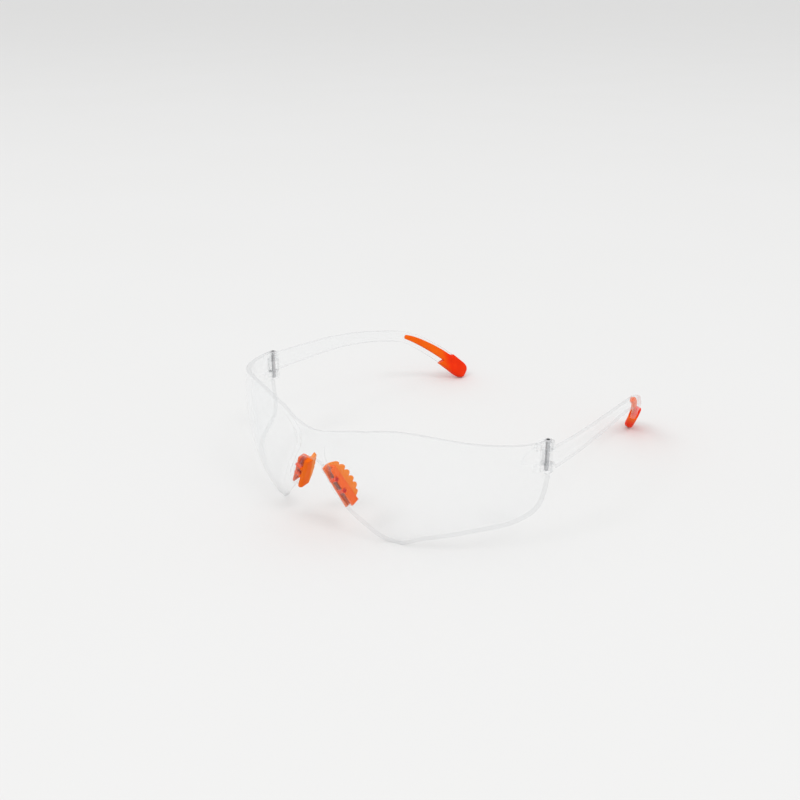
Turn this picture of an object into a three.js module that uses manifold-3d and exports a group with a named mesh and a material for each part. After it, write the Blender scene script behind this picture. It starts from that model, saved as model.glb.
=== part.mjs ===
// Clear wraparound safety glasses: a one-piece lens with moulded nose bridge, nose flanges and hinge
// lugs, two soft nose pads, two folding temples on steel pins, and two soft temple tips.
// Millimetres. +Z is up, the front faces -Y, and the wearer's left is +X. The glasses stand open on a
// table at Z = 0, on the two lowest points of the lens and on both temple tips.
// Every shape is worked out for the wearer's left, with the hinge pins at Y = 0, and then mirrored.

import * as THREE from "three";
import { mergeVertices } from "three/addons/utils/BufferGeometryUtils.js";
import Module from "manifold-3d";

const wasm = await Module();
wasm.setup();

const { lerp, smoothstep } = THREE.MathUtils;

// ---- Driving dimensions -------------------------------------------------------------------------

const depthMiddle = 33.2; // from the hinge pins back to the middle of the glasses' depth
const clearance = 0.3; // between soft pieces and the clear pieces that they sit on
const roundSides = 24;
const tableSize = 400;

// Lens. "Along" is the distance from the middle of the nose round the sheet, in plan.
const lensThickness = 2.2;
const noseThickness = 1.6;
const noseThicknessEnd = 12; // along the sheet, where it starts to thicken
const eyeThicknessStart = 24;
const wrapRadius = 55.8;
const wrapStart = 17.5; // the sheet is straight in plan up to here, then wraps
const frontOfLens = -44.6;
const sagRadius = 85; // curve of the sheet from top to bottom
const sagHeight = 34; // height of its foremost point
const noseSagShare = 0.45;
const sagBlend = 14; // length over which the full curve comes in beyond wrapStart
const lensColumns = 80;
const lensRows = 14;

// Nose ridge: the middle of the sheet stands forward of the two eye domes.
const ridgeStep = 4.8;
const ridgeStepAtTop = 3.1;
const ridgeWaist = 8.8; // from the middle to the ridge's side, at its narrowest
const ridgeWaistLow = 33;
const ridgeWaistHigh = 36;
const ridgeFlare = 5.5; // how far the side spreads from the waist up to the top edge
const ridgeSideWidth = 4.8;
const ridgeSideWidthAtTop = 12;
const ridgeTopBlend = 8; // height over which it spreads
const ridgeFoot = 5; // it fades out between its shoulder and here
const ridgeShoulder = 25;
const topOfLens = 48.2;

// Half outlines of the sheet as (along, height), from the middle of the nose to the hinge.
const lowerEdge = new THREE.SplineCurve([
  new THREE.Vector2(0, 30.8),
  new THREE.Vector2(4.6, 30.2),
  new THREE.Vector2(7.4, 27.2),
  new THREE.Vector2(10, 21),
  new THREE.Vector2(14, 12.4),
  new THREE.Vector2(20, 7),
  new THREE.Vector2(31, -0.5),
  new THREE.Vector2(44.4, 4.4),
  new THREE.Vector2(63.7, 8.7),
  new THREE.Vector2(81.5, 10.3),
  new THREE.Vector2(91.4, 14.6),
  new THREE.Vector2(93.6, 27),
]);
const upperEdge = new THREE.SplineCurve([
  new THREE.Vector2(0, 42),
  new THREE.Vector2(4.5, 42.4),
  new THREE.Vector2(9, 43.4),
  new THREE.Vector2(15, 44.3),
  new THREE.Vector2(21, 45.4),
  new THREE.Vector2(28, 47.1),
  new THREE.Vector2(36.7, topOfLens),
  new THREE.Vector2(48, 47.5),
  new THREE.Vector2(64, 45),
  new THREE.Vector2(79.5, 42.7),
  new THREE.Vector2(86, 42),
  new THREE.Vector2(91.5, 41.4),
]);

// Nose flange: the moulded wall on each side of the notch that carries a pad on two pegs.
const flangeCentre = new THREE.Vector3(9.7, -45.3, 21.1);
const flangeDown = new THREE.Vector3(0.45, 0.28, -0.85).normalize();
const flangeOut = new THREE.Vector3(0.85, 0, 0.45).normalize();
const flangeThickness = 1.8;
const flangeTop = -9.5;
const flangeBottom = 9;
const flangeFront = -1.6;
const flangeBack = 1.9;
const flangeCorner = 1.6;
const pegSpacing = 5.2;
const pegRadius = 0.85;

// Nose pad, measured in the flange's own directions.
const padTop = -8;
const padBottom = 9;
const leafThickness = 0.8;
const cushionThickness = 1.6;
const cushionFront = -0.9;
const leafFront = -0.9;
const padLean = 1.2; // how much further back the front edges are at the top
const leafTop = -6.6;
const cushionBevel = 0.6; // how much of the cushion's thickness its front face keeps
const cushionBevelDepth = 0.8;
const padSpine = 3.4; // where the two leaves join behind the flange
const wingWidth = 3.5;
const wingFlare = 0.5;
const wingRim = 1.1;
const wingTaper = 0.2;
const wingCorner = 3; // higher makes the wing's ends squarer
const spineSlope = 0.4;
const scallops = 6;
const scallopDepth = 1.1;
const padSteps = 36;

// Hinge: an upright pin through two lugs on the lens, with a knuckle on the temple between them.
const pinX = 70;
const pinRadius = 0.8;
const pinFit = 0.1;
const pinHeadRadius = 1.35;
const pinHeadHeight = 0.5;
const pinSetback = 0.2; // below the lower lug's face
const pinHeadLift = 0.05;
const barrelRadius = 2.5;
const lugTop = 41;
const lugBottom = 29;
const knuckleTop = 37.6;
const knuckleBottom = 32.4;
const knuckleShoulder = 0.6; // where its outer side starts, behind the pin
const knuckleLength = 3.4;
const lugGap = 0.25;
const lugInside = 67.1;
const lugOutside = 71.3;
const lugFront = -4.6;
const lugBack = -2.9;

// Arrow rib that carries the hinge load from the lugs into the sheet.
const ribTip = -10.4;
const ribPoint = 1.3; // how far its lower corner stands forward of its upper one
const ribHigh = 37.6;
const ribLow = 34.4;
const ribHighAtLug = 40.2;
const ribLowAtLug = 33.2;
const ribThickness = 2;
const ribBedding = 1.8; // depth below the sheet's outer face to which it is set in

// Temple: a swept arm. Its centre line runs from the hinge to the ear and down behind it.
const templeLine = new THREE.CatmullRomCurve3([
  new THREE.Vector3(72.7, 1, 35),
  new THREE.Vector3(72.7, 13.4, 34.7),
  new THREE.Vector3(72.3, 24.4, 34.4),
  new THREE.Vector3(71.3, 38, 34),
  new THREE.Vector3(69.4, 53, 32.8),
  new THREE.Vector3(66, 70, 30),
  new THREE.Vector3(62.4, 84.8, 25.6),
  new THREE.Vector3(55.6, 100.8, 14.4),
  new THREE.Vector3(47.6, 113.5, 1.4),
]);
const templeHeights = [8.2, 7.4, 6.6, 5.8, 5.1, 5.2, 6.8, 7.8, 8];
const templeTwist = 0.5; // radians that the end leans outwards at its top
const twistStart = 0.6;
const templeThickness = 2.6;
const templeSteps = 30;
const templeLength = templeLine.getLength();
const tipShare = 0.885; // share of the arm's length in front of the soft block
const tenonShare = 0.94;
const tenonRoot = 0.03; // share by which it starts inside the arm
const tenonScale = 0.55;
const blockHeight = 8.2;
const blockSlant = 0.039; // share of the arm by which its front edge leans back towards its top
const blockRounding = 0.45; // share of its length over which the end closes
const blockBluntness = 4;
const blockThickness = 4.1;
const stripeShare = 0.655;
const stripeOverlap = 0.02; // share by which it runs into the block
const stripeDepth = 0.9;
const stripeStartWidth = 1.7;
const stripeRise = 0.4; // above the middle of the arm
const stripeEndWidth = 4.4;

// ---- Working with geometry ----------------------------------------------------------------------

// Closes a three.js geometry into a solid that can be joined and cut.
function solidOf(geometry) {
  const bare = geometry.clone();
  bare.deleteAttribute("normal");
  bare.deleteAttribute("uv");
  const merged = mergeVertices(bare, 1e-4);
  const triangles = new Uint32Array(merged.index.array);
  const mesh = new wasm.Mesh({
    numProp: 3,
    vertProperties: merged.attributes.position.array,
    triVerts: triangles,
  });
  return new wasm.Manifold(mesh);
}

// Turns a joined or cut solid back into three.js geometry.
function geometryOf(solid) {
  const mesh = solid.getMesh();
  const places = new Float32Array(mesh.numVert * 3);
  for (let i = 0; i < mesh.numVert; i++) {
    const start = i * mesh.numProp;
    places.set(mesh.vertProperties.subarray(start, start + 3), i * 3);
  }
  const geometry = new THREE.BufferGeometry();
  geometry.setAttribute("position", new THREE.BufferAttribute(places, 3));
  geometry.setIndex(new THREE.BufferAttribute(mesh.triVerts, 1));
  geometry.computeVertexNormals();
  return geometry;
}

// Moves every vertex of a geometry to the place that a function gives for it.
function bend(geometry, placeOf) {
  const places = geometry.attributes.position;
  for (let i = 0; i < places.count; i++) {
    const place = placeOf(places.getX(i), places.getY(i), places.getZ(i));
    places.setXYZ(i, place.x, place.y, place.z);
  }
  return geometry;
}

// A straight extrusion of a plan outline between two heights.
function upright(shape, bottom, top) {
  const geometry = new THREE.ExtrudeGeometry(shape, {
    depth: top - bottom,
    bevelEnabled: false,
    curveSegments: roundSides / 4,
  });
  return geometry.translate(0, 0, bottom);
}

function uprightCylinder(radius, bottom, top) {
  const geometry = new THREE.CylinderGeometry(radius, radius, top - bottom, roundSides);
  geometry.rotateX(Math.PI / 2);
  return geometry.translate(pinX, 0, (top + bottom) / 2);
}

function roundedRectangle(left, bottom, right, top, corner) {
  const shape = new THREE.Shape();
  shape.moveTo(left + corner, bottom);
  shape.lineTo(right - corner, bottom);
  shape.absarc(right - corner, bottom + corner, corner, -Math.PI / 2, 0);
  shape.lineTo(right, top - corner);
  shape.absarc(right - corner, top - corner, corner, 0, Math.PI / 2);
  shape.lineTo(left + corner, top);
  shape.absarc(left + corner, top - corner, corner, Math.PI / 2, Math.PI);
  shape.lineTo(left, bottom + corner);
  shape.absarc(left + corner, bottom + corner, corner, Math.PI, Math.PI * 1.5);
  return shape;
}

// Everything below the table top, to cut the small flats that the glasses stand on.
const belowTable = solidOf(
  new THREE.BoxGeometry(tableSize, tableSize, tableSize).translate(0, 0, -tableSize / 2),
);

// ---- Lens ---------------------------------------------------------------------------------------

// How far the nose ridge stands forward of the eye dome at a point of the sheet.
function ridgeForward(along, height) {
  const belowWaist = Math.max(0, ridgeWaistLow - height);
  const towardsTop = smoothstep(height, ridgeWaistHigh, ridgeWaistHigh + ridgeTopBlend);
  const spread = (belowWaist * flangeDown.x) / -flangeDown.z;
  const side = ridgeWaist + spread + ridgeFlare * towardsTop;
  const width = lerp(ridgeSideWidth, ridgeSideWidthAtTop, towardsTop);
  const step = lerp(ridgeStep, ridgeStepAtTop, towardsTop) * smoothstep(height, ridgeFoot, ridgeShoulder);
  return step * (1 - smoothstep(along, side - width / 2, side + width / 2));
}

// A point of the sheet's outer face.
function outerFace(along, height) {
  const reach = Math.abs(along);
  const turn = Math.max(0, reach - wrapStart) / wrapRadius;
  const sagShare = lerp(noseSagShare, 1, smoothstep(reach, wrapStart, wrapStart + sagBlend));
  const sag = (sagShare * (height - sagHeight) ** 2) / (2 * sagRadius);
  const radius = wrapRadius - sag;
  const x = Math.min(reach, wrapStart) + radius * Math.sin(turn);
  const y = frontOfLens + wrapRadius - radius * Math.cos(turn) - ridgeForward(reach, height);
  return new THREE.Vector3(along < 0 ? -x : x, y, height);
}

// The sheet's outward direction there.
function outerDirection(along, height) {
  const small = 0.05;
  const across = outerFace(along + small, height).sub(outerFace(along - small, height));
  const up = outerFace(along, height + small).sub(outerFace(along, height - small));
  return across.cross(up).normalize();
}

function lensSheet() {
  const block = new THREE.BoxGeometry(2, 1, 1, lensColumns, lensRows, 1);
  return bend(block, (across, up, front) => {
    const lower = lowerEdge.getPoint(Math.abs(across));
    const upper = upperEdge.getPoint(Math.abs(across));
    const place = lower.lerp(upper, up + 0.5);
    const along = place.x * Math.sign(across);
    const towardsEye = smoothstep(place.x, noseThicknessEnd, eyeThicknessStart);
    const thickness = lerp(noseThickness, lensThickness, towardsEye);
    const outward = outerDirection(along, place.y);
    return outerFace(along, place.y).addScaledVector(outward, thickness * (front - 0.5));
  });
}

// Turns a shape drawn down and back along the nose flange into its place on the lens.
function flangeFrame() {
  const back = new THREE.Vector3().crossVectors(flangeOut, flangeDown);
  const frame = new THREE.Matrix4().makeBasis(flangeDown, back, flangeOut);
  return frame.setPosition(flangeCentre);
}

function noseFlange() {
  const shape = roundedRectangle(flangeTop, flangeFront, flangeBottom, flangeBack, flangeCorner);
  for (const side of [-1, 1]) {
    const hole = new THREE.Path();
    hole.absarc((side * pegSpacing) / 2, 0, pegRadius + clearance, 0, Math.PI * 2);
    shape.holes.push(hole);
  }
  const plate = new THREE.ExtrudeGeometry(shape, {
    depth: flangeThickness,
    bevelEnabled: false,
    curveSegments: roundSides / 3,
  });
  return plate.translate(0, 0, -flangeThickness / 2).applyMatrix4(flangeFrame());
}

// One lug in plan: a barrel round the pin that runs into the end of the sheet.
function lugShape() {
  const shape = new THREE.Shape();
  shape.moveTo(lugInside, lugFront);
  shape.lineTo(lugOutside, lugFront);
  shape.lineTo(pinX + barrelRadius, 0);
  shape.absarc(pinX, 0, barrelRadius, 0, Math.PI);
  shape.lineTo(lugInside, lugFront);
  return shape;
}

function arrowRib() {
  const shape = new THREE.Shape();
  shape.moveTo(lugBack, ribLowAtLug);
  shape.lineTo(lugBack, ribHighAtLug);
  shape.quadraticCurveTo(lugFront, ribHighAtLug, ribTip + ribPoint, ribHigh);
  shape.lineTo(ribTip, ribLow);
  shape.lineTo(lugBack, ribLowAtLug);
  const plate = new THREE.ExtrudeGeometry(shape, {
    depth: 1,
    bevelEnabled: false,
    curveSegments: roundSides / 3,
  });
  // The rib follows the inner face of the sheet.
  return bend(plate, (y, height, depth) => {
    const turn = Math.acos((frontOfLens + wrapRadius - y) / wrapRadius);
    const faceX = wrapStart + wrapRadius * Math.sin(turn);
    return new THREE.Vector3(faceX - ribBedding - ribThickness * (1 - depth), y, height);
  });
}

function lensGeometry() {
  const upperLug = upright(lugShape(), knuckleTop + lugGap, lugTop);
  const lowerLug = upright(lugShape(), lugBottom, knuckleBottom - lugGap);
  let fittings = solidOf(noseFlange());
  for (const fitting of [arrowRib(), upperLug, lowerLug]) {
    fittings = fittings.add(solidOf(fitting));
  }
  const bore = solidOf(uprightCylinder(pinRadius + pinFit, lugBottom - 1, lugTop + 1));
  const lens = solidOf(lensSheet()).add(fittings).add(fittings.mirror([1, 0, 0]));
  const knuckleRoom = solidOf(
    uprightCylinder(barrelRadius + clearance, knuckleBottom - lugGap, knuckleTop + lugGap),
  );
  const room = bore.add(knuckleRoom);
  return geometryOf(lens.subtract(room).subtract(room.mirror([1, 0, 0])).subtract(belowTable));
}

// ---- Nose pads ----------------------------------------------------------------------------------

// Section across a pad, as (back, out): an inner cushion and an outer leaf that hold the flange
// between them, joined behind it, and a wing that runs back from there.
function padSection() {
  const slot = flangeThickness / 2 + clearance;
  const wingInside = -slot - cushionThickness + wingTaper;
  const shape = new THREE.Shape();
  shape.moveTo(leafFront, slot);
  shape.lineTo(flangeBack + clearance, slot);
  shape.lineTo(flangeBack + clearance, -slot);
  shape.lineTo(cushionFront, -slot);
  shape.lineTo(cushionFront, -slot - cushionThickness * cushionBevel);
  shape.lineTo(cushionFront + cushionBevelDepth, -slot - cushionThickness);
  shape.lineTo(padSpine, -slot - cushionThickness);
  shape.lineTo(padSpine + 1, wingInside);
  shape.lineTo(padSpine + 1, wingInside + wingRim);
  shape.lineTo(padSpine, -slot);
  shape.lineTo(padSpine - spineSlope, slot + leafThickness);
  shape.lineTo(leafFront, slot + leafThickness);
  return shape;
}

function padGeometry() {
  const bar = new THREE.ExtrudeGeometry(padSection(), {
    depth: 1,
    steps: padSteps,
    bevelEnabled: false,
  });
  bend(bar, (back, out, share) => {
    const onLeaf = out > 0;
    const down = lerp(onLeaf ? leafTop : padTop, padBottom, share);
    const lean = back < 0 ? padLean * (1 - share) : 0;
    const beyond = Math.max(0, back - padSpine);
    const lobe = Math.sqrt(Math.abs(Math.sin(scallops * Math.PI * share)));
    const leaf = Math.sqrt(Math.max(0, 1 - Math.abs(2 * share - 1) ** wingCorner));
    const width = (wingWidth + scallopDepth * lobe) * leaf;
    return new THREE.Vector3(down, back + lean + beyond * (width - 1), out + beyond * width * wingFlare);
  });
  let pad = solidOf(bar);
  for (const side of [-1, 1]) {
    const length = flangeThickness + 2 * clearance + leafThickness;
    const peg = new THREE.CylinderGeometry(pegRadius, pegRadius, length, roundSides / 2);
    peg.rotateX(Math.PI / 2);
    peg.translate((side * pegSpacing) / 2, 0, 0);
    pad = pad.add(solidOf(peg));
  }
  return geometryOf(pad).applyMatrix4(flangeFrame());
}

// ---- Hinge pins ---------------------------------------------------------------------------------

function pinGeometry() {
  const profile = new THREE.Path();
  profile.moveTo(0, lugBottom + pinSetback);
  profile.lineTo(pinRadius, lugBottom + pinSetback);
  profile.lineTo(pinRadius, lugTop + pinHeadLift);
  profile.lineTo(pinHeadRadius, lugTop + pinHeadLift);
  profile.quadraticCurveTo(pinHeadRadius, lugTop + pinHeadHeight, 0, lugTop + pinHeadHeight);
  const pin = new THREE.LatheGeometry(profile.getPoints(6), roundSides);
  pin.rotateX(Math.PI / 2);
  return pin.translate(pinX, 0, 0);
}

// ---- Temples ------------------------------------------------------------------------------------

// Directions along the arm at a share of its length: inwards, up across it, and forwards along it.
function templeFrame(share) {
  const forward = templeLine.getTangentAt(share);
  const inward = new THREE.Vector3(0, 0, 1).cross(forward).normalize();
  inward.applyAxisAngle(forward, templeTwist * smoothstep(share, twistStart, 1));
  const up = new THREE.Vector3().crossVectors(forward, inward);
  return { centre: templeLine.getPointAt(share), inward, up };
}

function templeHeight(share) {
  const place = share * (templeHeights.length - 1);
  const index = Math.min(Math.floor(place), templeHeights.length - 2);
  return lerp(templeHeights[index], templeHeights[index + 1], smoothstep(place - index, 0, 1));
}

// Sweeps a unit section along part of the arm. size gives its scale and its offset at each share.
function sweep(section, from, to, steps, size) {
  const bar = new THREE.ExtrudeGeometry(section, {
    depth: 1,
    steps,
    bevelEnabled: false,
    curveSegments: 1,
  });
  return bend(bar, (side, rise, step) => {
    const share = lerp(from, to, step);
    const { thickness, height, offset = 0, lift = 0, slant = 0 } = size(share);
    const { centre, inward, up } = templeFrame(share + slant * rise);
    centre.addScaledVector(inward, side * thickness + offset);
    return centre.addScaledVector(up, rise * height + lift);
  });
}

const softSquare = roundedRectangle(-0.5, -0.5, 0.5, 0.5, 0.22);

function stripe(extra) {
  const start = stripeShare - extra / templeLength;
  return sweep(softSquare, start, tipShare + stripeOverlap, 20, (share) => {
    const grown = Math.sqrt(Math.max(0, share - stripeShare) / (tipShare - stripeShare));
    return {
      thickness: 2 * stripeDepth + 2 * extra,
      height: lerp(stripeStartWidth, stripeEndWidth, grown) + 2 * extra,
      offset: templeThickness / 2,
      lift: stripeRise,
    };
  });
}

function knuckleShape() {
  const shape = new THREE.Shape();
  const armInside = templeLine.points[0].x - templeThickness / 2;
  const armOutside = templeLine.points[0].x + templeThickness / 2;
  shape.moveTo(armInside, 0);
  shape.lineTo(armOutside, knuckleShoulder);
  shape.lineTo(armOutside, knuckleLength);
  shape.lineTo(pinX, barrelRadius);
  shape.absarc(pinX, 0, barrelRadius, Math.PI / 2, Math.PI * 2);
  return shape;
}

// The soft block at the end, grown by extra all round. Its front edge leans back towards its top.
function block(extra) {
  const start = tipShare - extra / templeLength;
  return sweep(softSquare, start, 1, 24, (share) => {
    const reach = (share - start) / (1 - start);
    const closing = Math.max(0, (reach - 1 + blockRounding) / blockRounding);
    const round = Math.max(0.001, 1 - closing ** blockBluntness) ** (1 / blockBluntness);
    return {
      thickness: blockThickness * round + 2 * extra,
      height: blockHeight * round + 2 * extra,
      slant: blockSlant * (1 - reach),
    };
  });
}

// The stub of the arm inside the block, or with extra its pocket.
function tenon(extra) {
  return sweep(softSquare, tipShare - tenonRoot, tenonShare + extra / templeLength, 5, (share) => ({
    thickness: templeThickness * tenonScale + 2 * extra,
    height: templeHeight(share) * tenonScale + 2 * extra,
  }));
}

function armGeometry() {
  const arm = sweep(softSquare, 0, tipShare + blockSlant, templeSteps, (share) => ({
    thickness: templeThickness,
    height: templeHeight(share),
  }));
  const knuckle = upright(knuckleShape(), knuckleBottom, knuckleTop);
  const bore = uprightCylinder(pinRadius + pinFit, lugBottom - 1, lugTop + 1);
  const lugRoom = uprightCylinder(barrelRadius + clearance, knuckleTop, lugTop + 1);
  const lugRoomBelow = uprightCylinder(barrelRadius + clearance, lugBottom - 1, knuckleBottom);
  const cut = solidOf(arm).subtract(solidOf(block(clearance))).add(solidOf(tenon(0)));
  let whole = cut.subtract(solidOf(stripe(clearance)));
  whole = whole.subtract(solidOf(lugRoom)).subtract(solidOf(lugRoomBelow));
  return geometryOf(whole.add(solidOf(knuckle)).subtract(solidOf(bore)));
}

function tipGeometry() {
  const body = solidOf(block(0)).subtract(solidOf(tenon(clearance)));
  return geometryOf(body.add(solidOf(stripe(0))).subtract(belowTable));
}

// ---- The glasses --------------------------------------------------------------------------------

const clearPlastic = new THREE.MeshStandardMaterial({
  color: 0xf2f5f7,
  roughness: 0.05,
  metalness: 0,
  transparent: true,
  opacity: 0.3,
});
const orangeRubber = new THREE.MeshStandardMaterial({ color: 0xf95a0a, roughness: 0.5, metalness: 0 });
const steel = new THREE.MeshStandardMaterial({ color: 0x3c3d40, roughness: 0.35, metalness: 1 });

const glasses = new THREE.Group();
glasses.position.y = -depthMiddle;

function addPiece(name, geometry, material, side) {
  const piece = new THREE.Mesh(geometry, material.clone());
  piece.name = name;
  piece.scale.x = side;
  glasses.add(piece);
}

addPiece("lens", lensGeometry(), clearPlastic, 1);
const pad = padGeometry();
const pin = pinGeometry();
const arm = armGeometry();
const tip = tipGeometry();
for (const [name, side] of [["left", 1], ["right", -1]]) {
  addPiece(`nose_pad_${name}`, pad, orangeRubber, side);
  addPiece(`hinge_pin_${name}`, pin, steel, side);
  addPiece(`temple_${name}`, arm, clearPlastic, side);
  addPiece(`temple_tip_${name}`, tip, orangeRubber, side);
}

export default glasses;
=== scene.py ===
import math

import bmesh
import bpy
from mathutils import Matrix, Quaternion, Vector


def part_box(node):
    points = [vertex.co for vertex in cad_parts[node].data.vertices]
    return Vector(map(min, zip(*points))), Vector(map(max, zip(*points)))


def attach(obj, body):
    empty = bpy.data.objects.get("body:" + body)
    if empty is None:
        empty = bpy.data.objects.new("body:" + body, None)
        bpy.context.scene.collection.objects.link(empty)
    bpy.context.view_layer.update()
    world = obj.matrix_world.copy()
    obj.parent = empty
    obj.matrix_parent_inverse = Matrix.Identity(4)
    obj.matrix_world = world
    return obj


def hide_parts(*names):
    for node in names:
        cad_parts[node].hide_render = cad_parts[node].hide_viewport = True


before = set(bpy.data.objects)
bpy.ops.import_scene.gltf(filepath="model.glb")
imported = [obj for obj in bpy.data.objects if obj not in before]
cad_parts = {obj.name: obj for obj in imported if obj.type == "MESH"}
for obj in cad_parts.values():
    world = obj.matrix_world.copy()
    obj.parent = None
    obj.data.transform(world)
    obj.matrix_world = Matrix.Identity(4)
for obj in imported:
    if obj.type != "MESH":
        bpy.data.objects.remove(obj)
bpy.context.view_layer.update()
print("frame loaded")

# Shapes are drawn in millimetres with the hinge pins at y = 0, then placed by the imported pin.
pinLow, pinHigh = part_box("hinge_pin_left")
pinMiddle = (pinLow + pinHigh) / 2 * 1000
pinX = pinMiddle.x
toFrame = Matrix.Scale(0.001, 4) @ Matrix.Translation((0, pinMiddle.y, 0))
mirrored = Matrix.Scale(-1, 4, (1, 0, 0))


def lerp(a, b, share):
    return a + (b - a) * share


def smoothstep(value, low, high):
    share = min(1, max(0, (value - low) / (high - low)))
    return share * share * (3 - 2 * share)


def throughPoints(points, share):
    # a smooth curve through evenly counted points
    place = min(max(share, 0), 1) * (len(points) - 1)
    index = min(int(place), len(points) - 2)
    t = place - index
    before, after = points[max(index - 1, 0)], points[min(index + 2, len(points) - 1)]
    a, b = Vector(points[index]), Vector(points[index + 1])
    leave, arrive = (b - Vector(before)) / 2, (Vector(after) - a) / 2
    cubic, square = 2 * (a - b) + leave + arrive, 3 * (b - a) - 2 * leave - arrive
    return cubic * t ** 3 + square * t ** 2 + leave * t + a


# Mesh tools

def bend(verts, placeOf):
    for vert in verts:
        vert.co = placeOf(*vert.co)


def fresh(bm, before):
    return [vert for vert in bm.verts if vert not in before]


def edgesOf(verts, wanted):
    found = {edge for vert in verts for edge in vert.link_edges}
    return [edge for edge in found if wanted(edge)]


def runsAlong(edge, axis):
    step = edge.verts[0].co - edge.verts[1].co
    return abs(step[axis]) > 0.99 * step.length


def roundEdges(bm, edges, radius, segments):
    bmesh.ops.bevel(bm, geom=edges, offset=radius, segments=segments, profile=0.5,
                    affect="EDGES", clamp_overlap=True, material=-1)


def roundSharp(bm, verts, angle, radius, segments):
    sharp = edgesOf(verts, lambda edge: len(edge.link_faces) == 2
                    and edge.calc_face_angle(0) > math.radians(angle))
    roundEdges(bm, sharp, radius, segments)


def pointsIn(geometry):
    return [item for item in geometry if isinstance(item, bmesh.types.BMVert)]


def softBar(bm, steps, corner, cornerSegments=4):
    # a unit bar along z from 0 to 1, with rounded long edges and rings to bend it by
    before = set(bm.verts)
    bmesh.ops.create_cube(bm, size=1, matrix=Matrix.Translation((0, 0, 0.5)))
    roundEdges(bm, edgesOf(fresh(bm, before), lambda edge: runsAlong(edge, 2)), corner,
               cornerSegments)
    bmesh.ops.subdivide_edges(bm, edges=edgesOf(fresh(bm, before), lambda edge: runsAlong(edge, 2)),
                              cuts=steps - 1)
    return fresh(bm, before)


def outlineBar(bm, outline, steps):
    # an outline in x and y, drawn out along z from 0 to 1
    before = set(bm.verts)
    corners = [bm.verts.new((x, y, 0)) for x, y in outline]
    face = bm.faces.new(corners)
    raised = bmesh.ops.extrude_face_region(bm, geom=[face])["geom"]
    bmesh.ops.translate(bm, vec=(0, 0, 1), verts=pointsIn(raised))
    faces = {face for vert in fresh(bm, before) for face in vert.link_faces}
    bmesh.ops.recalc_face_normals(bm, faces=list(faces))
    if steps > 1:
        long = edgesOf(fresh(bm, before), lambda edge: runsAlong(edge, 2))
        bmesh.ops.subdivide_edges(bm, edges=long, cuts=steps - 1)
    return fresh(bm, before)


def cylinder(bm, radius, bottom, top, place=(0, 0), segments=48):
    matrix = Matrix.Translation((place[0], place[1], (bottom + top) / 2))
    bmesh.ops.create_cone(bm, cap_ends=True, segments=segments, radius1=radius, radius2=radius,
                          depth=top - bottom, matrix=matrix)


def objectFrom(bm, name):
    bmesh.ops.recalc_face_normals(bm, faces=bm.faces[:])
    mesh = bpy.data.meshes.new(name)
    bm.to_mesh(mesh)
    bm.free()
    made = bpy.data.objects.new(name, mesh)
    bpy.context.scene.collection.objects.link(made)
    return made


def applyModifiers(piece):
    depsgraph = bpy.context.evaluated_depsgraph_get()
    mesh = bpy.data.meshes.new_from_object(piece.evaluated_get(depsgraph))
    piece.modifiers.clear()
    piece.data = mesh


def combine(piece, other, operation):
    step = piece.modifiers.new(operation.lower(), "BOOLEAN")
    step.operation, step.solver, step.object, step.use_self = operation, "EXACT", other, True
    applyModifiers(piece)
    bpy.data.objects.remove(other)


def soften(piece, voxel, passes):
    # melts overlapping shells into one moulding with soft edges
    melt = piece.modifiers.new("melt", "REMESH")
    melt.mode, melt.voxel_size, melt.adaptivity = "VOXEL", voxel, 0
    relax = piece.modifiers.new("relax", "SMOOTH")
    relax.factor, relax.iterations = 0.5, passes
    applyModifiers(piece)


def finishPiece(piece, material, body, node, sharpAngle=38):
    piece.data.transform(toFrame)
    for face in piece.data.polygons:
        face.use_smooth = True
    piece.data.set_sharp_from_angle(angle=math.radians(sharpAngle))
    piece.data.materials.clear()
    piece.data.materials.append(material)
    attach(piece, body)
    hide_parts(node)
    print(piece.name, "made with", len(piece.data.polygons), "faces")


def paint(piece, name, valueAt):
    # a value on each vertex, worked out from its place and its normal
    values = piece.data.attributes.new(name, "FLOAT", "POINT").data
    for vert, value in zip(piece.data.vertices, values):
        value.value = valueAt(vert.co, vert.normal)


def otherSide(piece, name):
    copy = bpy.data.objects.new(name, piece.data.copy())
    bpy.context.scene.collection.objects.link(copy)
    copy.data.transform(mirrored)
    copy.data.flip_normals()
    return copy


# Materials

class Wire:
    def __init__(self, finish, socket):
        self.finish, self.socket = finish, socket

    def __add__(self, other):
        return self.finish.maths("ADD", self, other)

    def __radd__(self, other):
        return self.finish.maths("ADD", other, self)

    def __sub__(self, other):
        return self.finish.maths("SUBTRACT", self, other)

    def __rsub__(self, other):
        return self.finish.maths("SUBTRACT", other, self)

    def __mul__(self, other):
        return self.finish.maths("MULTIPLY", self, other)

    def __rmul__(self, other):
        return self.finish.maths("MULTIPLY", other, self)


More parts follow.
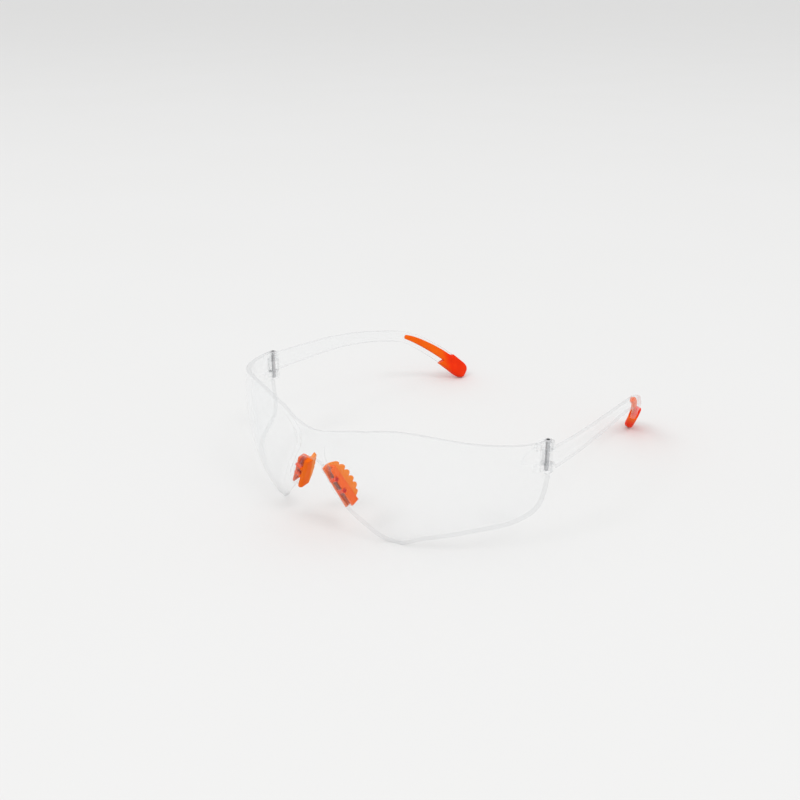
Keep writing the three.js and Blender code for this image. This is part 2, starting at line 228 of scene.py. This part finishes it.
class Finish:
    def __init__(self, tree):
        self.tree = tree
        self.tree.nodes.clear()

    def add(self, kind, settings=None, sockets=None, output=0):
        node = self.tree.nodes.new(kind)
        for key, value in (settings or {}).items():
            if key == "stops":
                while len(node.color_ramp.elements) < len(value):
                    node.color_ramp.elements.new(0.5)
                for element, (place, colour) in zip(node.color_ramp.elements, value):
                    element.position, element.color = place, colour
            else:
                setattr(node, key, value)
        for key, value in (sockets or {}).items():
            if isinstance(value, Wire):
                self.tree.links.new(value.socket, node.inputs[key])
            else:
                node.inputs[key].default_value = value
        return Wire(self, node.outputs[output]) if node.outputs else None

    def noise(self, scale, detail=4, roughness=0.5, place=None):
        place = place or self.add("ShaderNodeTexCoord", output=3)
        return self.add("ShaderNodeTexNoise", {}, {
            "Vector": place, "Scale": scale, "Detail": detail, "Roughness": roughness})

    def maths(self, operation, first, second):
        return self.add("ShaderNodeMath", {"operation": operation}, {0: first, 1: second})

    def spread(self, value, low, high, toLow=0, toHigh=1):
        return self.add("ShaderNodeMapRange", {}, {
            0: value, 1: low, 2: high, 3: toLow, 4: toHigh})

    def mixColour(self, factor, first, second):
        return self.add("ShaderNodeMix", {"data_type": "RGBA"},
                        {0: factor, 6: first, 7: second}, output=2)

    def bump(self, height, strength, distance):
        return self.add("ShaderNodeBump", {}, {
            "Height": height, "Strength": strength, "Distance": distance})

    def surface(self, shader):
        self.add("ShaderNodeOutputMaterial", {}, {"Surface": shader})


def newFinish(name):
    material = bpy.data.materials.new(name)
    material.use_nodes = True
    return material, Finish(material.node_tree)


plasticLook = {
    "tint": (0.86, 0.87, 0.875, 1),
    "smudgeTint": (0.8, 0.81, 0.815, 1),
    # the rim colour is painted shade: a grey standing in for the dark lines that bent light draws
    # along clear rims
    "paintedRimShade": (0.42, 0.43, 0.44, 1),
    "passTint": (0.995, 0.997, 0.998, 1),
    # how much of the plastic shows seen straight on, then at a glance and at its rims
    "faceOn": 0.025,
    "glancing": 0.4,
    "atRim": 0.13,
    "roughness": 0.06,
    "smudgeRoughness": 0.1,
}
rubberLook = {
    "stops": [(0, (0.86, 0.235, 0.015, 1)), (0.35, (0.86, 0.125, 0.002, 1)),
              (0.7, (0.84, 0.03, 0.001, 1)), (1, (0.5, 0.01, 0.001, 1))],
    "roughness": 0.5,
    "shine": 0.08,
}
steelLook = {
    "colour": (0.5, 0.5, 0.51, 1),
    "bright": (0.75, 0.75, 0.76, 1),
    # head: the colour of the painted shade in the middle of the pin head
    "head": (0.03, 0.03, 0.032, 1),
    "axis": (0.07, 0.0332, 0),
    "roughness": 0.3,
}


def clearPlastic():
    material, finish = newFinish("clearPolycarbonate")
    smudge = finish.spread(finish.noise(38, 3, 0.55), 0.5, 0.8)
    ripple = finish.noise(55, 1, 0.3)
    rim = finish.add("ShaderNodeAttribute", {"attribute_name": "rim"}, output=2)
    plain = finish.mixColour(smudge, plasticLook["tint"], plasticLook["smudgeTint"])
    skin = finish.add("ShaderNodeBsdfPrincipled", {}, {
        "Base Color": finish.mixColour(rim, plain, plasticLook["paintedRimShade"]),
        "Roughness": plasticLook["roughness"] + smudge * plasticLook["smudgeRoughness"],
        "Normal": finish.bump(ripple, 0.06, 0.0003),
    })
    # clear straight on, paler at a glance and greyer at the rims, where the grey is painted shade
    # standing in for the dark lines that bent light draws along real rims
    glancing = finish.add("ShaderNodeLayerWeight", {}, {"Blend": 0.5}, output=1)
    glancing = finish.maths("POWER", glancing, 4)
    shows = plasticLook["faceOn"] + glancing * plasticLook["glancing"] + rim * plasticLook["atRim"]
    clear = finish.add("ShaderNodeBsdfTransparent", {}, {"Color": plasticLook["passTint"]})
    finish.surface(finish.add("ShaderNodeMixShader", {}, {0: shows, 1: clear, 2: skin}))
    return material


def orangeRubber():
    material, finish = newFinish("orangeRubber")
    cloud = finish.spread(finish.noise(260, 3), 0.35, 0.7)
    grain = finish.noise(4200, 2, 0.6)
    shade = finish.add("ShaderNodeAttribute", {"attribute_name": "shade"}, output=2)
    clouded = shade + cloud * 0.08 - 0.04
    colour = finish.add("ShaderNodeValToRGB", {"stops": rubberLook["stops"]}, {0: clouded})
    finish.surface(finish.add("ShaderNodeBsdfPrincipled", {}, {
        "Base Color": colour,
        "Roughness": rubberLook["roughness"] + cloud * 0.12,
        "Specular IOR Level": rubberLook["shine"],
        "Normal": finish.bump(grain, 0.25, 0.00004),
    }))
    return material


def darkSteel():
    material, finish = newFinish("hingeSteel")
    place = finish.add("ShaderNodeTexCoord", output=3)
    stretched = finish.add("ShaderNodeMapping", {}, {"Vector": place, "Scale": (1, 1, 14)})
    turned = finish.spread(finish.noise(900, 3, 0.6, stretched), 0.3, 0.7)
    height = finish.add("ShaderNodeSeparateXYZ", {}, {0: place}, output=2)
    # painted shade: a dark middle on the otherwise bright head, standing in for the shade of a
    # sunken hollow that the mesh does not have
    offAxis = finish.add("ShaderNodeVectorMath", {"operation": "ABSOLUTE"}, {0: place})
    offAxis = finish.add("ShaderNodeVectorMath", {"operation": "SUBTRACT"},
                         {0: offAxis, 1: steelLook["axis"]})
    offAxis = finish.add("ShaderNodeVectorMath", {"operation": "MULTIPLY"},
                         {0: offAxis, 1: (1, 1, 0)})
    radius = finish.add("ShaderNodeVectorMath", {"operation": "LENGTH"}, {0: offAxis}, output=1)
    paintedHollowShade = finish.spread(height, 0.0409, 0.0411) * finish.spread(radius, 0.0006, 0.0008, 1, 0)
    plain = finish.mixColour(turned, steelLook["colour"], steelLook["bright"])
    finish.surface(finish.add("ShaderNodeBsdfPrincipled", {}, {
        "Base Color": finish.mixColour(paintedHollowShade, plain, steelLook["head"]),
        "Metallic": 1.0,
        "Roughness": steelLook["roughness"] + turned * 0.15,
        "Normal": finish.bump(turned, 0.15, 0.00003),
    }))
    return material


plastic, rubber, steel = clearPlastic(), orangeRubber(), darkSteel()
print("materials made")

# Lens, with its flanges, lugs and ribs

lensSize = {
    "thickness": 2.2,
    "noseThickness": 1.6,
    "wrapRadius": 55.8,
    "wrapStart": 17.5,      # straight in plan up to here, then wraps
    "front": -44.6,
    "sagRadius": 85,
    "sagHeight": 34,
    "noseSagShare": 0.45,
    "ridgeStep": 4.8,
    "ridgeStepAtTop": 3.1,
    "ridgeWaist": 8.8,
    "ridgeWaistLow": 33,
    "ridgeWaistHigh": 36,
    "ridgeFlare": 5.5,
    "ridgeSideWidth": 4.8,
    "ridgeSideWidthAtTop": 12,
    "rim": 0.45,
    "rimBand": 0.6,         # past the thickness, how far from the outer face still counts as rim
    "lowest": 0.01,         # the flats that it stands on
    "columns": 300,
    "rows": 46,
}
# half outlines as (distance round the sheet, height), from the middle of the nose to the hinge
lowerEdge = [(0, 30.8), (4.6, 30.2), (7.4, 27.2), (10, 21), (14, 12.4), (20, 7), (31, -0.5),
             (44.4, 4.4), (63.7, 8.7), (81.5, 10.3), (91.4, 14.6), (93.6, 27)]
upperEdge = [(0, 42), (4.5, 42.4), (9, 43.4), (15, 44.3), (21, 45.4), (28, 47.1), (36.7, 48.2),
             (48, 47.5), (64, 45), (79.5, 42.7), (86, 42), (91.5, 41.4)]

flange = {
    "centre": Vector((9.7, -45.3, 21.1)),
    "down": Vector((0.45, 0.28, -0.85)).normalized(),
    "out": Vector((0.85, 0, 0.45)).normalized(),
    "thickness": 1.8,
    "top": -9.5,
    "bottom": 9,
    "front": -1.6,
    "back": 1.9,
    "corner": 1.6,
    "pegSpacing": 5.2,
    "pegRadius": 0.85,
}

hinge = {
    "pinRadius": 0.8,
    "pinFit": 0.1,
    "barrel": 2.5,
    "lugTop": 41,
    "lugBottom": 29,
    "knuckleTop": 37.6,
    "knuckleBottom": 32.4,
    "gap": 0.25,
    "inside": 67.1,
    "outside": 71.3,
    "front": -4.6,
    "back": -2.9,
    "clearance": 0.3,
    "ribTip": -10.4,
    "ribPoint": 1.3,        # how far its lower corner stands forward of its upper one
    "ribHigh": 37.6,
    "ribLow": 34.4,
    "ribHighAtLug": 40.2,
    "ribLowAtLug": 33.2,
    "ribBedding": 1.8,
    "ribThickness": 2,
}


def ridgeForward(along, height):
    size = lensSize
    spread = max(0, size["ridgeWaistLow"] - height) * flange["down"].x / -flange["down"].z
    towardsTop = smoothstep(height, size["ridgeWaistHigh"], size["ridgeWaistHigh"] + 8)
    side = size["ridgeWaist"] + spread + size["ridgeFlare"] * towardsTop
    width = lerp(size["ridgeSideWidth"], size["ridgeSideWidthAtTop"], towardsTop)
    step = lerp(size["ridgeStep"], size["ridgeStepAtTop"], towardsTop) * smoothstep(height, 5, 25)
    return step * (1 - smoothstep(along, side - width / 2, side + width / 2))


def outerFace(along, height):
    size = lensSize
    reach = abs(along)
    turn = max(0, reach - size["wrapStart"]) / size["wrapRadius"]
    wrapped = smoothstep(reach, size["wrapStart"], size["wrapStart"] + 14)
    sagShare, above = lerp(size["noseSagShare"], 1, wrapped), height - size["sagHeight"]
    radius = size["wrapRadius"] - sagShare * above ** 2 / (2 * size["sagRadius"])
    x = min(reach, size["wrapStart"]) + radius * math.sin(turn)
    y = size["front"] + size["wrapRadius"] - radius * math.cos(turn) - ridgeForward(reach, height)
    return Vector((math.copysign(x, along), y, height))


def outerDirection(along, height, small=0.05):
    across = outerFace(along + small, height) - outerFace(along - small, height)
    up = outerFace(along, height + small) - outerFace(along, height - small)
    return across.cross(up).normalized()


def sheetPlace(across, up, front):
    lower, upper = throughPoints(lowerEdge, abs(across)), throughPoints(upperEdge, abs(across))
    reach, height = lower.lerp(upper, (up + 1) / 2)
    along = math.copysign(reach, across)
    thickness = lerp(lensSize["noseThickness"], lensSize["thickness"], smoothstep(reach, 12, 24))
    return outerFace(along, height) + outerDirection(along, height) * thickness * (front - 1)


def lensSheet():
    bm = bmesh.new()
    bmesh.ops.create_grid(bm, x_segments=lensSize["columns"], y_segments=lensSize["rows"], size=1)
    raised = bmesh.ops.extrude_face_region(bm, geom=bm.faces[:])["geom"]
    bmesh.ops.translate(bm, vec=(0, 0, 1), verts=pointsIn(raised))
    rim = [edge for edge in bm.edges if edge.calc_face_angle(0) > 1]
    bend(bm.verts, sheetPlace)
    bmesh.ops.recalc_face_normals(bm, faces=bm.faces[:])
    roundEdges(bm, rim, lensSize["rim"], 3)
    for vert in bm.verts:
        vert.co.z = max(vert.co.z, lensSize["lowest"])
    return objectFrom(bm, "lensMoulding")


# marks the sheet's rims, which take the painted grey rim shade and pass less light
def lensRim(place, normal):
    size = lensSize
    aside = abs(place.x) - size["wrapStart"]
    depth = size["front"] + size["wrapRadius"] - place.y
    turn = math.atan2(max(0, aside), depth) * size["wrapRadius"]
    reach = min(abs(place.x), size["wrapStart"]) + turn
    along = math.copysign(reach, place.x)
    across = outerDirection(along, place.z)
    if (outerFace(along, place.z) - place).length > size["thickness"] + size["rimBand"]:
        return 0    # the flanges and lugs behind the sheet
    return smoothstep(1 - abs(normal.dot(across)), 0.35, 0.8)


# marks the arms' top and bottom faces as rims, which take the painted grey rim shade and pass less
# light
def armRim(place, normal):
    return smoothstep(1 - abs(normal.x), 0.4, 0.9)


def flangeFrame():
    back = flange["out"].cross(flange["down"])
    columns = Matrix((flange["down"], back, flange["out"])).transposed()
    return Matrix.Translation(flange["centre"]) @ columns.to_4x4()


def noseFlange(bm):
    wide, deep = flange["bottom"] - flange["top"], flange["back"] - flange["front"]
    before = set(bm.verts)
    bmesh.ops.create_cube(bm, size=1)
    verts = fresh(bm, before)
    bmesh.ops.scale(bm, vec=(wide, deep, flange["thickness"]), verts=verts)
    bmesh.ops.translate(bm, verts=verts, vec=((flange["bottom"] + flange["top"]) / 2,
                                              (flange["back"] + flange["front"]) / 2, 0))
    roundEdges(bm, edgesOf(verts, lambda edge: runsAlong(edge, 2)), flange["corner"], 6)
    roundSharp(bm, fresh(bm, before), 60, 0.3, 2)
    bmesh.ops.transform(bm, matrix=flangeFrame(), verts=fresh(bm, before))


def lug(bm, bottom, top):
    before = set(bm.verts)
    cylinder(bm, hinge["barrel"], bottom, top, (pinX, 0))
    roundSharp(bm, fresh(bm, before), 60, 0.25, 2)
    before = set(bm.verts)
    barrel = hinge["barrel"]
    wedge = [(hinge["inside"], hinge["front"]), (hinge["outside"], hinge["front"]),
             (pinX + barrel - 0.05, 0), (pinX - barrel + 0.05, 0)]
    verts = outlineBar(bm, wedge, 1)
    bmesh.ops.scale(bm, vec=(1, 1, top - bottom), verts=verts)
    bmesh.ops.translate(bm, vec=(0, 0, bottom), verts=verts)
    roundSharp(bm, fresh(bm, before), 60, 0.2, 2)


def arrowRib(bm):
    size = hinge
    before = set(bm.verts)
    start = Vector((size["back"], size["ribHighAtLug"]))
    control = Vector((size["front"], size["ribHighAtLug"]))
    end = Vector((size["ribTip"] + size["ribPoint"], size["ribHigh"]))
    upper = [start.lerp(control, i / 12).lerp(control.lerp(end, i / 12), i / 12) for i in range(13)]
    outline = [(size["back"], size["ribLowAtLug"])] + [tuple(spot) for spot in upper]
    verts = outlineBar(bm, outline + [(size["ribTip"], size["ribLow"])], 1)
    roundEdges(bm, edgesOf(verts, lambda edge: runsAlong(edge, 2)), 0.35, 3)
    roundSharp(bm, fresh(bm, before), 60, 0.12, 2)

    def place(y, height, depth):
        wrap = lensSize["wrapRadius"]
        turn = math.acos((lensSize["front"] + wrap - y) / wrap)
        face = lensSize["wrapStart"] + wrap * math.sin(turn) - size["ribBedding"]
        return Vector((face - size["ribThickness"] * (1 - depth), y, height))

    bend(fresh(bm, before), place)


def mirrorAll(bm):
    copy = bmesh.ops.duplicate(bm, geom=bm.verts[:] + bm.edges[:] + bm.faces[:])["geom"]
    bmesh.ops.transform(bm, matrix=mirrored, verts=pointsIn(copy))
    bmesh.ops.recalc_face_normals(bm, faces=bm.faces[:])


def lensFittings():
    bm = bmesh.new()
    noseFlange(bm)
    arrowRib(bm)
    lug(bm, hinge["knuckleTop"] + hinge["gap"], hinge["lugTop"])
    lug(bm, hinge["lugBottom"], hinge["knuckleBottom"] - hinge["gap"])
    mirrorAll(bm)
    return objectFrom(bm, "fittings")


def lensHoles():
    bm = bmesh.new()
    for side in (-1, 1):
        before = set(bm.verts)
        cylinder(bm, flange["pegRadius"] + hinge["clearance"], -2, 2,
                 (side * flange["pegSpacing"] / 2, 0), 32)
        bmesh.ops.transform(bm, matrix=flangeFrame(), verts=fresh(bm, before))
    cylinder(bm, hinge["pinRadius"] + hinge["pinFit"], hinge["lugBottom"] - 1,
             hinge["lugTop"] + 1, (pinX, 0))
    mirrorAll(bm)
    return objectFrom(bm, "holes")


def knuckleRooms():
    bm = bmesh.new()
    cylinder(bm, hinge["barrel"] + hinge["clearance"], hinge["knuckleBottom"] - hinge["gap"],
             hinge["knuckleTop"] + hinge["gap"], (pinX, 0))
    mirrorAll(bm)
    return objectFrom(bm, "rooms")


lens = lensSheet()
combine(lens, lensFittings(), "UNION")
combine(lens, lensHoles(), "DIFFERENCE")
combine(lens, knuckleRooms(), "DIFFERENCE")
paint(lens, "rim", lensRim)
finishPiece(lens, plastic, "front", "lens")

# Nose pads

padSize = {
    "top": -8,
    "bottom": 9,
    "leaf": 0.8,
    "cushion": 1.6,
    "front": -0.9,
    "lean": 1.2,            # how much further back the front edges are at the top
    "leafTop": -6.6,
    "spine": 3.4,
    "wing": 3.1,
    "flare": 0.5,
    "rim": 1.1,
    "scallops": 6,
    "scallopDepth": 1.5,
    "lobePower": 0.5,
    "pegRing": 0.3,
    "steps": 150,
}


def padOutline():
    size = padSize
    slot = flange["thickness"] / 2 + hinge["clearance"]
    inner = -slot - size["cushion"]
    back = flange["back"] + hinge["clearance"]
    return [(size["front"], slot), (back, slot), (back, -slot), (size["front"], -slot),
            (size["front"], -slot - size["cushion"] * 0.6), (size["front"] + 0.8, inner),
            (size["spine"], inner), (size["spine"] + 1, inner + 0.2),
            (size["spine"] + 1, inner + 0.2 + size["rim"]), (size["spine"], -slot),
            (size["spine"] - 0.4, slot + size["leaf"]), (size["front"], slot + size["leaf"])]


def padPlace(back, out, share):
    size = padSize
    down = lerp(size["leafTop"] if out > 0 else size["top"], size["bottom"], share)
    beyond = max(0, back - size["spine"])
    lobe = abs(math.sin(size["scallops"] * math.pi * share)) ** size["lobePower"]
    leaf = math.sqrt(max(0, 1 - abs(2 * share - 1) ** 3))
    width = (size["wing"] + size["scallopDepth"] * lobe) * leaf
    lean = size["lean"] * (1 - share) if back < 0 else 0
    return Vector((down, back + lean + beyond * (width - 1), out + beyond * width * size["flare"]))


def padPegs(name, radius, low, high):
    bm = bmesh.new()
    for side in (-1, 1):
        cylinder(bm, radius, low, high, (side * flange["pegSpacing"] / 2, 0), 32)
    return objectFrom(bm, name)


def nosePad():
    bm = bmesh.new()
    bend(outlineBar(bm, padOutline(), padSize["steps"]), padPlace)
    pad = objectFrom(bm, "nosePadLeft")
    leafInside = flange["thickness"] / 2 + hinge["clearance"]
    face = leafInside + padSize["leaf"]
    ring = flange["pegRadius"] + padSize["pegRing"]
    combine(pad, padPegs("rings", ring, leafInside + 0.25, face + 1), "DIFFERENCE")
    combine(pad, padPegs("pegs", flange["pegRadius"], -leafInside - 0.3, face - 0.1), "UNION")
    soften(pad, 0.13, 2)
    paint(pad, "shade", padShade)
    pad.data.transform(flangeFrame())
    return pad


def padShade(place, normal):
    # darker along the strip over the flange, darkest on the pegs
    onStrip = 1 - smoothstep(place.y, padSize["spine"] - 0.6, padSize["spine"] + 0.1)
    toPeg = math.hypot(abs(place.x) - flange["pegSpacing"] / 2, place.y)
    onPeg = 1 - smoothstep(toPeg, flange["pegRadius"] - 0.1, flange["pegRadius"] + 0.1)
    strip = 0.4 if place.z > 0 else 0.3
    return max(strip * onStrip, onPeg * (1 if place.z > -1 else 0))


padLeft = nosePad()
padRight = otherSide(padLeft, "nosePadRight")
finishPiece(padLeft, rubber, "front", "nose_pad_left", 60)
finishPiece(padRight, rubber, "front", "nose_pad_right", 60)

# Hinge pins

pinSize = {"headRadius": 1.35, "headHeight": 0.5, "segments": 48}


def hingePin():
    bottom, top = hinge["lugBottom"] + 0.2, hinge["lugTop"] + 0.05
    radius, head = hinge["pinRadius"], pinSize["headRadius"]
    crown = top + pinSize["headHeight"]
    profile = [(0, bottom), (radius - 0.15, bottom), (radius, bottom + 0.15), (radius, top),
               (head - 0.05, top), (head, top + 0.08), (head * 0.93, top + 0.28),
               (head * 0.7, crown - 0.08), (head * 0.4, crown - 0.01), (0, crown)]
    bm = bmesh.new()
    verts = [bm.verts.new((x, 0, z)) for x, z in profile]
    edges = [bm.edges.new(pair) for pair in zip(verts, verts[1:])]
    bmesh.ops.spin(bm, geom=verts + edges, axis=(0, 0, 1), cent=(0, 0, 0), angle=math.tau,
                   steps=pinSize["segments"], use_merge=True)
    bmesh.ops.remove_doubles(bm, verts=bm.verts[:], dist=0.001)
    bmesh.ops.translate(bm, vec=(pinX, 0, 0), verts=bm.verts[:])
    return objectFrom(bm, "hingePinLeft")


hingeLeft = hingePin()
hingeRight = otherSide(hingeLeft, "hingePinRight")
finishPiece(hingeLeft, steel, "front", "hinge_pin_left")
finishPiece(hingeRight, steel, "front", "hinge_pin_right")

# Temples and their soft tips

temple = {
    "line": [(72.7, 1, 35), (72.7, 13.4, 34.7), (72.3, 24.4, 34.4), (71.3, 38, 34),
             (69.4, 53, 32.8), (66, 70, 30), (62.4, 84.8, 25.6),
             (55.6, 100.8, 14.4), (47.6, 113.5, 1.4)],
    "heights": [8.2, 7.4, 6.6, 5.8, 5.1, 5.2, 6.8, 7.8, 8],
    "twist": 0.5,           # radians that the end leans outwards at its top
    "twistStart": 0.6,
    "thickness": 2.6,
    "steps": 120,
    "corner": 0.22,
}
tip = {
    "start": 0.885,         # share of the arm's length in front of the soft block
    "height": 8.2,
    "thickness": 4.1,
    "slant": 0.039,         # share of the arm by which its front edge leans back towards its top
    "rounding": 0.45,       # share of its length over which the end closes
    "bluntness": 2.8,
    "underside": 0.06,
    "stripeStart": 0.655,
    "stripeDepth": 0.9,
    "stripeStartWidth": 1.7,
    "stripeEndWidth": 4.4,
    "stripeRise": 0.4,
    "shades": (0.38, 0.72),     # of the stripe and the block, on the rubber's ramp
    "shadeAlong": (99, 106),
}


def evenShares(points, count=600):
    # shares of a curve at even steps of its length
    spots = [throughPoints(points, i / count) for i in range(count + 1)]
    lengths = [0]
    for a, b in zip(spots, spots[1:]):
        lengths.append(lengths[-1] + (b - a).length)
    return [length / lengths[-1] for length in lengths]


lengthShares = evenShares(temple["line"])


def templeAt(share):
    count = len(lengthShares) - 1
    index = next((i for i, length in enumerate(lengthShares) if length >= share), count)
    index = max(index, 1)
    low, high = lengthShares[index - 1], lengthShares[index]
    spot = (index - 1 + (share - low) / (high - low)) / count
    forward = (throughPoints(temple["line"], spot + 0.004)
               - throughPoints(temple["line"], spot - 0.004)).normalized()
    inward = Vector((0, 0, 1)).cross(forward).normalized()
    inward.rotate(Quaternion(forward, temple["twist"] * smoothstep(share, temple["twistStart"], 1)))
    return throughPoints(temple["line"], spot), inward, forward.cross(inward)


def templeHeight(share):
    heights = temple["heights"]
    place = share * (len(heights) - 1)
    index = min(int(place), len(heights) - 2)
    return lerp(heights[index], heights[index + 1], smoothstep(place - index, 0, 1))


def sweep(bm, start, end, steps, sizeAt):
    # sizeAt gives thickness, height, offset inwards, lift and the slant of the ends
    def place(side, rise, step):
        share = lerp(start, end, step)
        thickness, height, offset, lift, slant = sizeAt(share)
        centre, inward, up = templeAt(share + slant * rise)
        return centre + inward * (side * thickness + offset) + up * (rise * height + lift)

    verts = softBar(bm, steps, temple["corner"])
    bend(verts, place)
    return verts


def stripe(bm):
    def sizeAt(share):
        grown = math.sqrt(max(0, share - tip["stripeStart"]) / (tip["start"] - tip["stripeStart"]))
        height = lerp(tip["stripeStartWidth"], tip["stripeEndWidth"], grown)
        return 2 * tip["stripeDepth"], height, temple["thickness"] / 2, tip["stripeRise"], 0

    sweep(bm, tip["stripeStart"], tip["start"] + 0.02, 60, sizeAt)


def templeArm():
    bm = bmesh.new()
    end = tip["start"] + 0.006
    sweep(bm, 0, end, temple["steps"],
          lambda share: (temple["thickness"], templeHeight(share), 0, 0,
                         tip["slant"] * smoothstep(share, end - 0.2, end)))
    arm = objectFrom(bm, "templeLeft")

    bm = bmesh.new()
    room = hinge["barrel"] + hinge["clearance"]
    cylinder(bm, room, hinge["knuckleTop"], hinge["lugTop"] + 1, (pinX, 0))
    cylinder(bm, room, hinge["lugBottom"] - 1, hinge["knuckleBottom"], (pinX, 0))
    combine(arm, objectFrom(bm, "room"), "DIFFERENCE")

    bm = bmesh.new()
    barrel = hinge["barrel"]
    cylinder(bm, barrel, hinge["knuckleBottom"], hinge["knuckleTop"], (pinX, 0))
    roundSharp(bm, bm.verts[:], 60, 0.2, 2)
    before = set(bm.verts)
    outside = temple["line"][0][0] + temple["thickness"] / 2
    web = [(pinX, -barrel + 1.2), (outside, 0.6), (outside, 3.4), (pinX, barrel)]
    verts = outlineBar(bm, web, 1)
    bmesh.ops.scale(bm, vec=(1, 1, hinge["knuckleTop"] - hinge["knuckleBottom"]), verts=verts)
    bmesh.ops.translate(bm, vec=(0, 0, hinge["knuckleBottom"]), verts=verts)
    combine(arm, objectFrom(bm, "knuckle"), "UNION")

    bm = bmesh.new()
    cylinder(bm, hinge["pinRadius"] + hinge["pinFit"], hinge["lugBottom"] - 1,
             hinge["lugTop"] + 1, (pinX, 0))
    combine(arm, objectFrom(bm, "bore"), "DIFFERENCE")
    return arm


def templeTip():
    bm = bmesh.new()

    def sizeAt(share):
        reach = (share - tip["start"]) / (1 - tip["start"])
        closing = max(0, (reach - 1 + tip["rounding"]) / tip["rounding"])
        swell = max(0.001, 1 - closing ** tip["bluntness"]) ** (1 / tip["bluntness"])
        slant = tip["slant"] * (1 - reach)
        return tip["thickness"] * swell, tip["height"] * swell, 0, 0, slant

    for vert in sweep(bm, tip["start"], 1, 60, sizeAt):
        vert.co.z = max(vert.co.z, tip["underside"])
    block = objectFrom(bm, "block")
    bm = bmesh.new()
    stripe(bm)
    bm.from_mesh(block.data)
    bpy.data.objects.remove(block)
    piece = objectFrom(bm, "templeTipLeft")
    soften(piece, 0.16, 3)
    stripeShade, blockShade = tip["shades"]
    paint(piece, "shade", lambda place, normal: lerp(stripeShade, blockShade,
                                                     smoothstep(place.y, *tip["shadeAlong"])))
    return piece


armLeft = templeArm()
paint(armLeft, "rim", armRim)
armRight = otherSide(armLeft, "templeRight")
tipLeft = templeTip()
tipRight = otherSide(tipLeft, "templeTipRight")
finishPiece(armLeft, plastic, "temple_left", "temple_left")
finishPiece(armRight, plastic, "temple_right", "temple_right")
finishPiece(tipLeft, rubber, "temple_left", "temple_tip_left", 60)
finishPiece(tipRight, rubber, "temple_right", "temple_tip_right", 60)

# Studio

studio = {
    "floorColour": (0.74, 0.74, 0.735, 1),
    "floorCloud": (0.745, 0.745, 0.742, 1),
    "floorSize": 30,
    "skyTop": 1.0,
    "skyLow": 0.88,
    "lampDistance": 3,
    "lampSize": 0.9,
    "lampPower": 13,
    "lampDirections": [(80, 55), (343, 48)],    # azimuth and elevation in degrees
}


view = {
    "lens": 44.01,
    "sensor": 36,
    "nearest": 0.005,
    "place": (0.22771, -0.27443, 0.19188),      # metres, measured from the hinge pins' line
    "azimuth": 39.43,
    "elevation": 23.42,
}


def floorMaterial():
    material, finish = newFinish("paleFloor")
    cloud = finish.spread(finish.noise(6, 2), 0.3, 0.7)
    finish.surface(finish.add("ShaderNodeBsdfPrincipled", {}, {
        "Base Color": finish.mixColour(cloud, studio["floorColour"], studio["floorCloud"]),
        "Roughness": 0.85,
        "Specular IOR Level": 0.1,
    }))
    return material


def makeFloor():
    bm = bmesh.new()
    bmesh.ops.create_grid(bm, x_segments=4, y_segments=4, size=studio["floorSize"] / 2)
    bmesh.ops.translate(bm, vec=(0, 0, -0.00002), verts=bm.verts[:])
    floor = objectFrom(bm, "floor")
    floor.data.materials.append(floorMaterial())


def direction(azimuth, elevation):
    turn, lift = math.radians(azimuth), math.radians(elevation)
    flat = math.cos(lift)
    return Vector((math.sin(turn) * flat, -math.cos(turn) * flat, math.sin(lift)))


def makeLights():
    world = bpy.data.worlds.new("studio")
    bpy.context.scene.world = world
    world.use_nodes = True
    finish = Finish(world.node_tree)
    around = finish.add("ShaderNodeTexCoord", output=0)
    up = finish.add("ShaderNodeSeparateXYZ", {}, {0: around}, output=2)
    level = finish.spread(up, 0.05, 0.9, studio["skyLow"], studio["skyTop"])
    sky = finish.add("ShaderNodeBackground", {}, {"Color": (1, 1, 1, 1), "Strength": level})
    finish.add("ShaderNodeOutputWorld", {}, {"Surface": sky})
    for azimuth, elevation in studio["lampDirections"]:
        data = bpy.data.lights.new("softbox", "AREA")
        data.shape, data.size, data.energy = "DISK", studio["lampSize"], studio["lampPower"]
        lamp = bpy.data.objects.new("softbox", data)
        lamp.location = direction(azimuth, elevation) * studio["lampDistance"]
        lamp.rotation_euler = (-lamp.location).to_track_quat("-Z", "Y").to_euler()
        bpy.context.scene.collection.objects.link(lamp)


def makeCamera():
    data = bpy.data.cameras.new("camera")
    data.lens, data.sensor_width = view["lens"], view["sensor"]
    data.clip_start = view["nearest"]
    camera = bpy.data.objects.new("camera", data)
    camera.location = view["place"]
    camera.location.y += pinMiddle.y / 1000
    camera.rotation_euler = (math.radians(90 - view["elevation"]), 0,
                             math.radians(view["azimuth"]))
    bpy.context.scene.collection.objects.link(camera)
    bpy.context.scene.camera = camera


makeFloor()
makeLights()
makeCamera()
bpy.context.scene.view_settings.view_transform = "Standard"
print("studio made")
